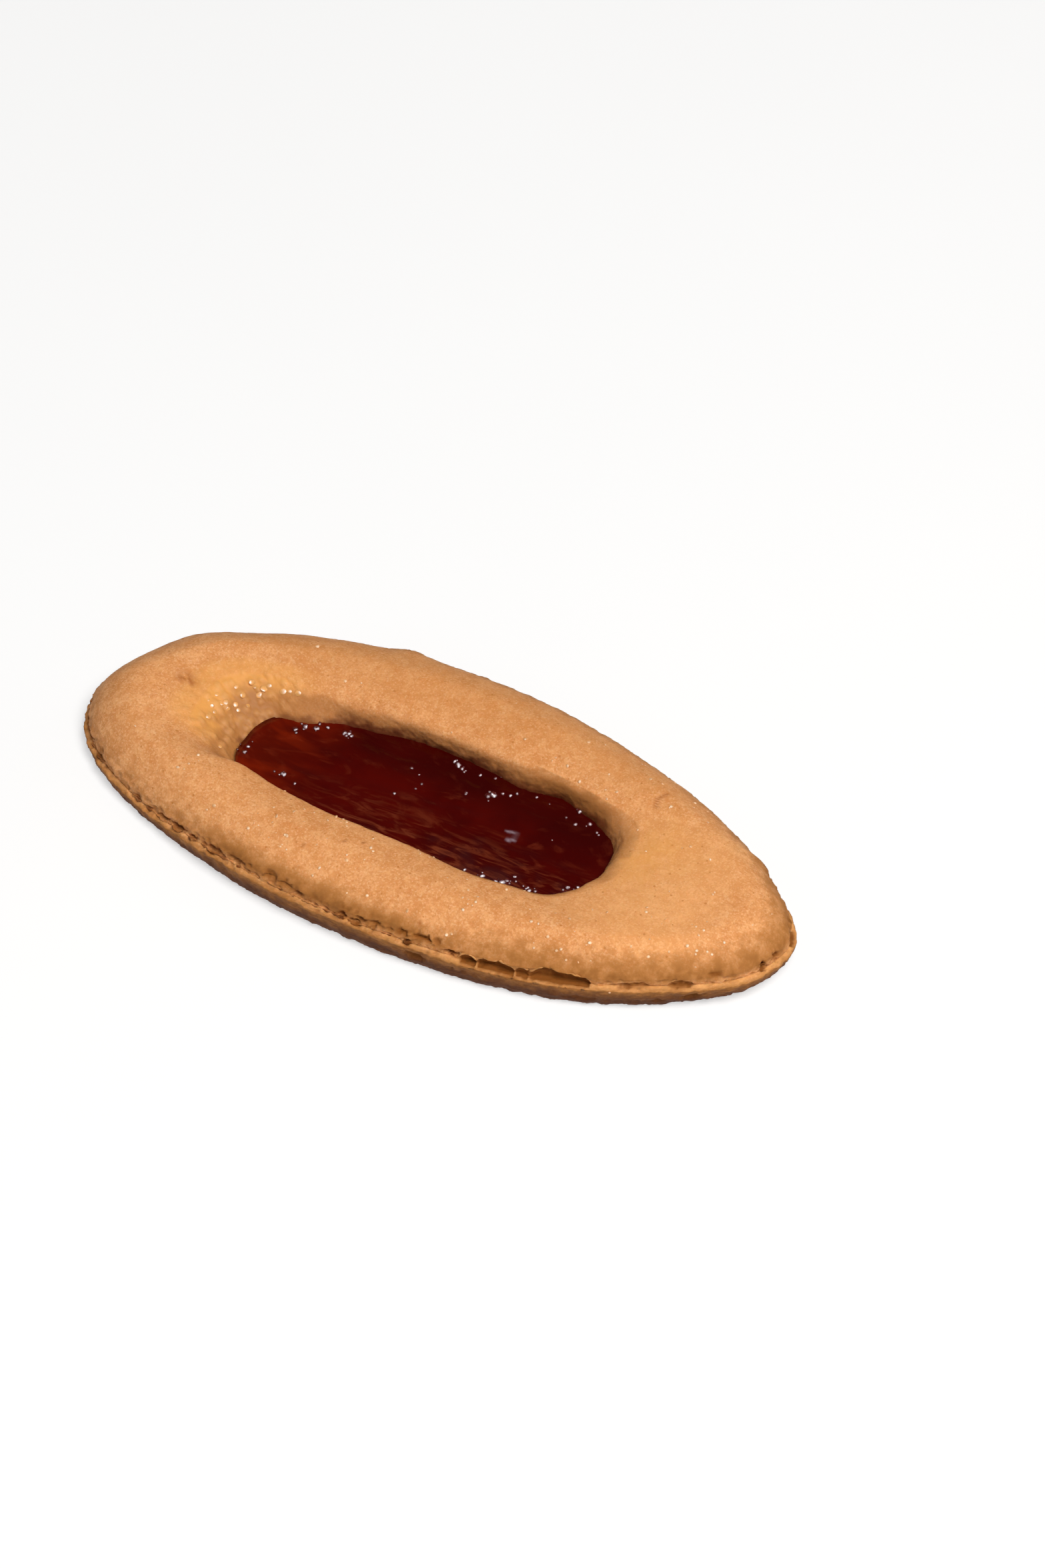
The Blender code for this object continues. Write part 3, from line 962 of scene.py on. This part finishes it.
def crust_material():
    made, tree, surface = fresh("baked_crust")
    place = millimetres(tree)
    mottles = [speckled(tree, place, *grain) for grain, _, _ in CRUST_MOTTLES]
    dots = pore_dots(tree, place)
    soaked_and_shaded = stored(tree, "soaked_and_shaded")
    golden = golden_crust(tree, place, mottles, dots)
    brown = browned_crust(tree, place, golden, mottles[0])
    wet = worked(tree, "MAXIMUM", stored(tree, "wet"), times(tree, soaked_and_shaded, 0.6))
    height = worked(tree, "ADD", speckled(tree, place, 2.2, 5.0, 0.7), times(tree, dots, -0.8))
    bump = add(tree, "ShaderNodeBump", {"Height": height, "Strength": 0.6, "Distance": 0.07 * MM})
    inputs = {
        "Base Color": wetted_crust(tree, brown, soaked_and_shaded),
        "Roughness": eased(tree, wet, 0.1, 0.9, 0.8, 0.5),
        "Specular IOR Level": 0.2,
        "Subsurface Weight": 0.15,
        "Subsurface Radius": (1.0, 0.45, 0.15),
        "Subsurface Scale": 0.7 * MM,
        "Normal": bump.outputs[0],
    }
    put(tree, surface, inputs)
    return made


def jam_material():
    made, tree, surface = fresh("red_jam")
    place = millimetres(tree)
    along = stretched(tree, place, (0.42, 1.0, 1.0), 0.12)
    wisps = speckled(tree, along, 0.4, 4.0, 0.55, 2.5)
    fine = speckled(tree, stretched(tree, place, (0.2, 1.0, 1.0), 0.1), 1.3, 4.0, 0.6, 1.6)
    clouds = speckled(tree, place, 0.16, 3.0)
    near_edge_reflection = stored(tree, "near_edge_reflection")
    deep = mixed(tree, eased(tree, clouds, 0.35, 0.65), JAM_DEEP, JAM_DEEPEST)
    deep = mixed(tree, eased(tree, wisps, 0.52, 0.75, 0.0, 0.8), deep, JAM_WISP)
    # Painted reflections along the jam's near edge
    deep = mixed(tree, times(tree, near_edge_reflection, eased(tree, fine, 0.45, 0.7)), deep, JAM_STREAK_REFLECTION)
    deep = mixed(tree, times(tree, near_edge_reflection, eased(tree, clouds, 0.55, 0.7, 0.0, 0.5)), deep, JAM_VIOLET_REFLECTION)
    # Painted shade along the jam's far edge
    deep = mixed(tree, stored(tree, "far_edge_shade"), deep, JAM_FAR_SHADE)
    deep = mixed(tree, stored(tree, "glow"), deep, JAM_GLOW)
    # A painted reflection in a squiggle
    deep = mixed(tree, stored(tree, "painted_reflection_squiggle"), deep, JAM_PAINTED_REFLECTION)
    bump = add(tree, "ShaderNodeBump", {"Height": wisps, "Strength": 0.4, "Distance": 0.12 * MM})
    inputs = {
        "Base Color": deep,
        "Roughness": 0.12,
        "Specular IOR Level": 0.2,
        "Normal": bump.outputs[0],
    }
    put(tree, surface, inputs)
    return made


def bead_material(name, look):
    """Small beads or grains whose colour differs a little from one to the next, with pale glints."""
    shade, glint, roughness = look
    made, tree, surface = fresh(name)
    mottle = speckled(tree, millimetres(tree), 1.5, 2.0)
    darker = [0.8 * value for value in shade]
    body = mixed(tree, eased(tree, mottle, 0.4, 0.6), shade, darker)
    glinting = mixed(tree, stored(tree, "glint"), body, glint)
    put(tree, surface, {"Base Color": glinting, "Roughness": roughness, "Specular IOR Level": 0.6})
    return made


# Pieces

def wall_stains_and_shade(grid, wall):
    """How far the pocket's wall is soaked and darkened with painted shade, and how dark the jam's fringe on
    it is.
    """
    x, y = grid[:, :, 0], grid[:, :, 1]
    uneven_wall = wall + 0.2 * rough(grid, (2.0, 1.2, 1.0))
    weaker = 1 - 0.5 * smooth(x, 14.0, 17.0)
    # The soaking and painted shade are stronger towards +X
    stronger_rightward = 0.65 + 0.3 * smooth(x, 2.0, 9.0)
    soaked_and_shaded = smooth(uneven_wall + 0.3 * smooth(x, 4.0, 10.0), 0.0, 0.65) * stronger_rightward * weaker * (wall > 0)
    stained = smooth(y, 2.0, 4.5) * smooth(x, -16.0, -11.0)
    fringe = smooth(uneven_wall, 0.8 - 0.25 * stained, 1.05 - 0.1 * stained)
    return soaked_and_shaded, fringe * (0.55 + 0.35 * stained) * weaker


def burnt_marks_and_crease_shade(grid):
    """The smudge on the -X dome and the specks, and painted shade in the crease."""
    x, y = grid[:, :, 0], grid[:, :, 1]
    at_x, at_y, half_length, half_width = SMUDGE
    marks = np.exp(-(((x - at_x) / half_length) ** 2 + ((y - at_y) / half_width) ** 2))
    marks = marks * smooth(rough(grid, 0.8), -0.7, 0.3)
    # Painted shade along the crease
    marks = np.maximum(marks, 0.85 * near_path(x, y, CREASE, 0.17))
    for at_x, at_y in SPECKS:
        away = ((x - at_x) / SPECK_RADIUS) ** 2 + ((y - at_y) / SPECK_RADIUS) ** 2
        marks = np.maximum(marks, np.exp(-away))
    return marks


def biscuit():
    rows, rim = biscuit_rows()
    wall, top, near_rim = (rows.mark(name) for name in ("wall", "top", "near_rim"))
    straight = rows.grid()
    sharper = 1 - 0.65 * smooth(-straight[:, :, 1], 2.0, 6.0)
    rimmed = smooth(near_rim, 0.0, 0.5) * (wall < 0.95) * sharper
    grid = softened(straight, rimmed, RIM_SOFTENING)
    level = grid[:, :, 2]
    grid = lip_lowered(grid, rim.places)
    out, hollow_shade = relief(rows, rim, grid, level)
    x, y = grid[:, :, 0], grid[:, :, 1]
    leftward, farward = SYRUP_CORNER
    lefts = smooth(-x, *leftward) * smooth(y, *farward)
    rimward = smooth(near_rim, 0.5, 1.0) * (wall == 0)
    wet = lefts * np.maximum(smooth(wall, 0.0, 0.05), 0.6 * rimward) * 0.9
    bump_height, bump_size = BUMPS
    bumps_and_painted_light = bubbled(grid + BUMPS_START, bump_size) * wet
    out += bump_height * bumps_and_painted_light
    out -= CREASE_DEPTH * near_path(x, y, CREASE, 0.15) * top
    moved = boxed(grid + normals(grid) * out[:, :, None])
    moved[-1] = grid[-1]

    soaked_and_shaded, fringe = wall_stains_and_shade(grid, wall)
    at_x, at_y, half_length, half_width = SYRUP_STAIN
    syrupy = np.exp(-(((x - at_x) / half_length) ** 2 + ((y - at_y) / half_width) ** 2))
    syrupy = syrupy * smooth(rough(grid, 2.2), -0.6, 0.4)
    painted_light_along, painted_light_across = PAINTED_LIGHT_AREA
    marks = {
        # Browning, with painted shade along the shoulder
        "browned": rows.mark("browned"),
        "top": top,
        "edge": rows.mark("edge"),
        "under": rows.mark("under"),
        # Painted shade in the pits and in the crevice and slots
        "hollow_shade": np.clip(hollow_shade + 1.2 * rows.mark("cavity"), 0, 1),
        "wet": np.maximum(wet, 0.5 * syrupy * (wall < 0.3)),
        # The bumps, with painted light on their tops
        "bumps_and_painted_light": bumps_and_painted_light,
        # Painted light towards +X, and painted shade on the far side of the dome
        "painted_light": 0.33 * between(x, *painted_light_along) * between(y, *painted_light_across),
        "painted_far_shade": 0.3 * smooth(y, 6.0, 10.0),
        # Soaking and painted shade on the wall
        "soaked_and_shaded": soaked_and_shaded,
        "fringe": fringe,
        "smudge_and_crease_shade": burnt_marks_and_crease_shade(grid) * top,
    }
    mesh = made_mesh("sponge_biscuit", moved)
    mark_points(mesh, marks)
    piece = placed("sponge_biscuit", mesh, crust_material())
    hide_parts("biscuit")
    return moved, normals(moved), top


def jam():
    angles = np.arange(DENSE) * 2 * math.pi / DENSE
    outline = long_round(angles, JAM, JAM_POWER, JAM_BULGES)
    stations = even_stations(outline, JAM_SECTIONS)
    edge = at_stations(outline, stations)
    left, right, near, far = JAM
    middle = np.array([0.5 * (right - left), 0.5 * (far - near)])
    wide = edge + outward(edge) * JAM_OVERLAP
    rows = [with_height(wide, FLOOR_HEIGHT + 0.3), with_height(wide, JAM_HEIGHT - 0.2)]
    below = len(rows)
    climb_height, climb_width = JAM_CLIMB
    for step in range(JAM_ROWS):
        share = 1 - (step / JAM_ROWS) ** 0.85
        points = middle + (wide - middle) * share
        inside = np.linalg.norm(wide - points, axis=1)
        climb = climb_height * np.exp(-((inside / climb_width) ** 2))
        rows.append(with_height(points, JAM_HEIGHT - JAM_DIP * (1 - share**JAM_DIP_POWER) + climb))
    grid = np.stack(rows)
    ripple = sum(uneven(grid, waves, 2) for waves in JAM_RIPPLES)
    grid[below:, :, 2] += ripple[below:]
    mesh = made_mesh("jam_filling", grid)
    x, y, z = grid[:, :, 0], grid[:, :, 1], grid[:, :, 2]
    glow = smooth(-x, 9.0, 18.5) * (0.35 + 0.65 * smooth(rough(grid, (4.0, 1.2, 1.0)), -0.4, 0.5))
    on_top = z > FLOOR_HEIGHT + 1
    marks = {
        "glow": 0.6 * glow,
        "painted_reflection_squiggle": 0.75 * near_path(x, y, PAINTED_REFLECTION_PATH, PAINTED_REFLECTION_WIDTH) * on_top,
        # Painted reflections along the jam's near edge
        "near_edge_reflection": smooth(-y, -0.5, 4.5) * smooth(x, -14.0, -5.0),
        # Painted shade along the jam's far edge
        "far_edge_shade": 0.6 * smooth(y, 0.5, 4.0) * smooth(x, -14.0, -8.0),
    }
    mark_points(mesh, marks)
    piece = placed("jam_filling", mesh, jam_material())
    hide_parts("jam")
    return grid


def surface_at(grid, ways, place):
    """The point of a grid of rows nearest over a place, and the direction out of it there."""
    away = np.hypot(grid[:, :, 0] - place[0], grid[:, :, 1] - place[1]) - 0.02 * grid[:, :, 2]
    row, column = np.unravel_index(np.argmin(away), away.shape)
    return grid[row, column], ways[row, column]


def gathered():
    """An empty gathering of small forms, whose points say how strongly they glint."""
    made = bmesh.new()
    made.verts.layers.float.new("glint")
    return made


def domed(made, point, way, radius, flatness, lumps, chance):
    """One bead, half sunk into what it sits on, whose glint is stronger the larger it is."""
    turn = Vector(way).to_track_quat("Z", "Y").to_matrix().to_4x4()
    long, wide = radius * chance.uniform(0.9, 1.15), radius * chance.uniform(0.9, 1.1)
    squeeze = Matrix.Diagonal((long, wide, radius * flatness, 1))
    centre = Matrix.Translation(Vector(point))
    added = bmesh.ops.create_icosphere(made, subdivisions=3, radius=1.0, matrix=centre @ turn @ squeeze)
    for vertex in added["verts"]:
        swell = 1 + lumps * noise.noise(vertex.co * 3.5)
        vertex.co = Vector(point) + (vertex.co - Vector(point)) * swell
    shine(made, added["verts"], min(1.0, 4.5 * radius) * chance.uniform(0.55, 1.0))


def shine(made, points, strength):
    layer = made.verts.layers.float["glint"]
    for point in points:
        point[layer] = strength


def finished(name, made, material, spread):
    """The gathered forms as one piece in metres, which glint where they face the light."""
    made.normal_update()
    layer = made.verts.layers.float["glint"]
    for point in made.verts:
        point.co.z = min(point.co.z, cad_box[1][2] / MM)
        patchy = 0.3 + 0.7 * float(smooth(noise.noise(point.co * 4.5), -0.35, 0.15))
        point[layer] *= patchy * float(smooth(point.normal.dot(GLINT_WAY), *spread))
    centred = Matrix.Translation((-BOX_MIDDLE[0], -BOX_MIDDLE[1], 0))
    bmesh.ops.transform(made, matrix=Matrix.Scale(MM, 4) @ centred, verts=made.verts)
    mesh = bpy.data.meshes.new(name)
    made.to_mesh(mesh)
    made.free()
    mesh.shade_smooth()
    return placed(name, mesh, material)


def beads(name, grid, places, form, material, seed):
    """Beads at places over a surface, with smaller ones beside the large."""
    flatness, lumps, beside, spread = form
    chance = random.Random(seed)
    ways = normals(grid)
    made = gathered()
    for from_x, from_y, radius in places:
        x, y = from_x + BOX_MIDDLE[0], from_y + BOX_MIDDLE[1]
        point, way = surface_at(grid, ways, (x, y))
        domed(made, point, way, radius, flatness, lumps, chance)
        if radius > LARGE_BEAD:
            for _ in range(beside):
                near = (x + chance.gauss(0, 1.2 * radius), y + chance.gauss(0, radius))
                point, way = surface_at(grid, ways, near)
                domed(made, point, way, radius * chance.uniform(0.35, 0.6), flatness, lumps, chance)
    return finished(name, made, material, spread)


def grain(made, point, way, size, chance):
    """One grain of sugar, a small flattened lump partly sunk into the crust and leaning a little."""
    turn = Vector(way).to_track_quat("Z", "Y").to_matrix().to_4x4()
    lean = Vector((chance.uniform(-0.35, 0.35), chance.uniform(-0.35, 0.35), 1.0))
    spin = Matrix.Rotation(chance.uniform(0, math.tau), 4, lean)
    long, high = size * chance.uniform(0.7, 1.3), size * chance.uniform(0.3, 0.5)
    stretch = Matrix.Diagonal((long, size, high, 1))
    sunk = Matrix.Translation(Vector(point) + Vector(way) * size * 0.08)
    place = sunk @ turn @ spin @ stretch
    added = bmesh.ops.create_icosphere(made, subdivisions=2, radius=0.6, matrix=place)
    shine(made, added["verts"], chance.uniform(0.35, 1.0))


def sugar(grid, ways, top):
    """Grains of sugar baked on to the crust, most of them on the near side and towards the +X tip."""
    chance = random.Random(SUGAR_SEED)
    made = gathered()
    for x, y in SUGAR_CLUSTERS:
        for _ in range(chance.randint(1, 4)):
            place = (x + BOX_MIDDLE[0] + chance.gauss(0, 0.5), y + BOX_MIDDLE[1] + chance.gauss(0, 0.3))
            point, way = surface_at(grid, ways, place)
            grain(made, point, way, chance.uniform(*SUGAR_SIZE), chance)
    count = 0
    while count < SUGAR_GRAINS:
        row = chance.randrange(grid.shape[0])
        column = chance.randrange(grid.shape[1])
        x, y, _ = grid[row, column]
        likely = 0.15 + 0.6 * (y < -6) + 0.5 * (x > 8) - 0.35 * (x < -22)
        if top[row, column] > 0.9 and chance.random() < likely:
            grain(made, grid[row, column], ways[row, column], chance.uniform(*SUGAR_SIZE), chance)
            count += 1
    material = bead_material("sugar", SUGAR_LOOK)
    return finished("sugar_grains", made, material, SUGAR_GLINT)


# Camera, floor and light

def place_camera():
    """The camera where the photograph's stood, looking down at the biscuit from the near right."""
    elevation, azimuth = math.radians(CAMERA_ELEVATION), math.radians(CAMERA_AZIMUTH)
    level = math.cos(elevation)
    back = Vector((math.sin(azimuth) * level, -math.cos(azimuth) * level, math.sin(elevation)))
    right = Vector((math.cos(azimuth), math.sin(azimuth), 0))
    up = back.cross(right)
    shift_right, shift_up = CAMERA_SHIFT
    camera = linked("camera", bpy.data.cameras.new("camera"))
    camera.data.sensor_width = CAMERA_SENSOR
    camera.data.lens = CAMERA_LENS
    camera.data.clip_start = CAMERA_NEAREST * MM
    camera.matrix_world = Matrix((right, up, back)).transposed().to_4x4()
    camera.location = (back * CAMERA_DISTANCE + right * shift_right + up * shift_up) * MM
    bpy.context.scene.camera = camera


def floor_material():
    made, tree, surface = fresh("pale_floor")
    cloudy = speckled(tree, millimetres(tree), 0.02, 2.0)
    inputs = {
        "Base Color": mixed(tree, cloudy, *FLOOR_SHADES),
        "Roughness": 0.9,
        "Specular IOR Level": 0.1,
        "Emission Color": (1.0, 1.0, 1.0, 1.0),
        "Emission Strength": FLOOR_GLOW,
    }
    put(tree, surface, inputs)
    return made


def lay_floor():
    mesh = bpy.data.meshes.new("floor")
    corners = [(-1, -1), (1, -1), (1, 1), (-1, 1)]
    points = [(x * FLOOR_REACH * MM, y * FLOOR_REACH * MM, -FLOOR_GAP * MM) for x, y in corners]
    mesh.from_pydata(points, [], [(0, 1, 2, 3)])
    mesh.materials.append(floor_material())
    floor = linked("floor", mesh)


def light(name, way, away, size, power, shade):
    lamp = bpy.data.lights.new(name, "AREA")
    lamp.shape = "DISK"
    lamp.size = size
    lamp.energy = power
    lamp.color = shade
    held = linked(name, lamp)
    held.location = Vector(way).normalized() * away
    held.rotation_euler = Vector(way).to_track_quat("Z", "Y").to_euler()


def set_sky():
    world = bpy.data.worlds.new("world")
    world.use_nodes = True
    sky = world.node_tree.nodes["Background"]
    put(world.node_tree, sky, {"Color": (*SKY_COLOUR, 1.0), "Strength": SKY_POWER})
    bpy.context.scene.world = world
    bpy.context.scene.view_settings.view_transform = "Standard"


crust, crust_ways, crust_top = biscuit()
jam_surface = jam()
bubble = bead_material("jam_bubble", BUBBLE_LOOK)
beads("jam_bubbles", jam_surface, JAM_BUBBLES, BUBBLE_FORM, bubble, BUBBLE_SEED)
syrup = bead_material("syrup", SYRUP_LOOK)
beads("syrup_beads", crust, SYRUP_BEADS, SYRUP_FORM, syrup, SYRUP_SEED)
sugar(crust, crust_ways, crust_top)
place_camera()
lay_floor()
for light_name, settings in LIGHTS.items():
    light(light_name, *settings)
set_sky()
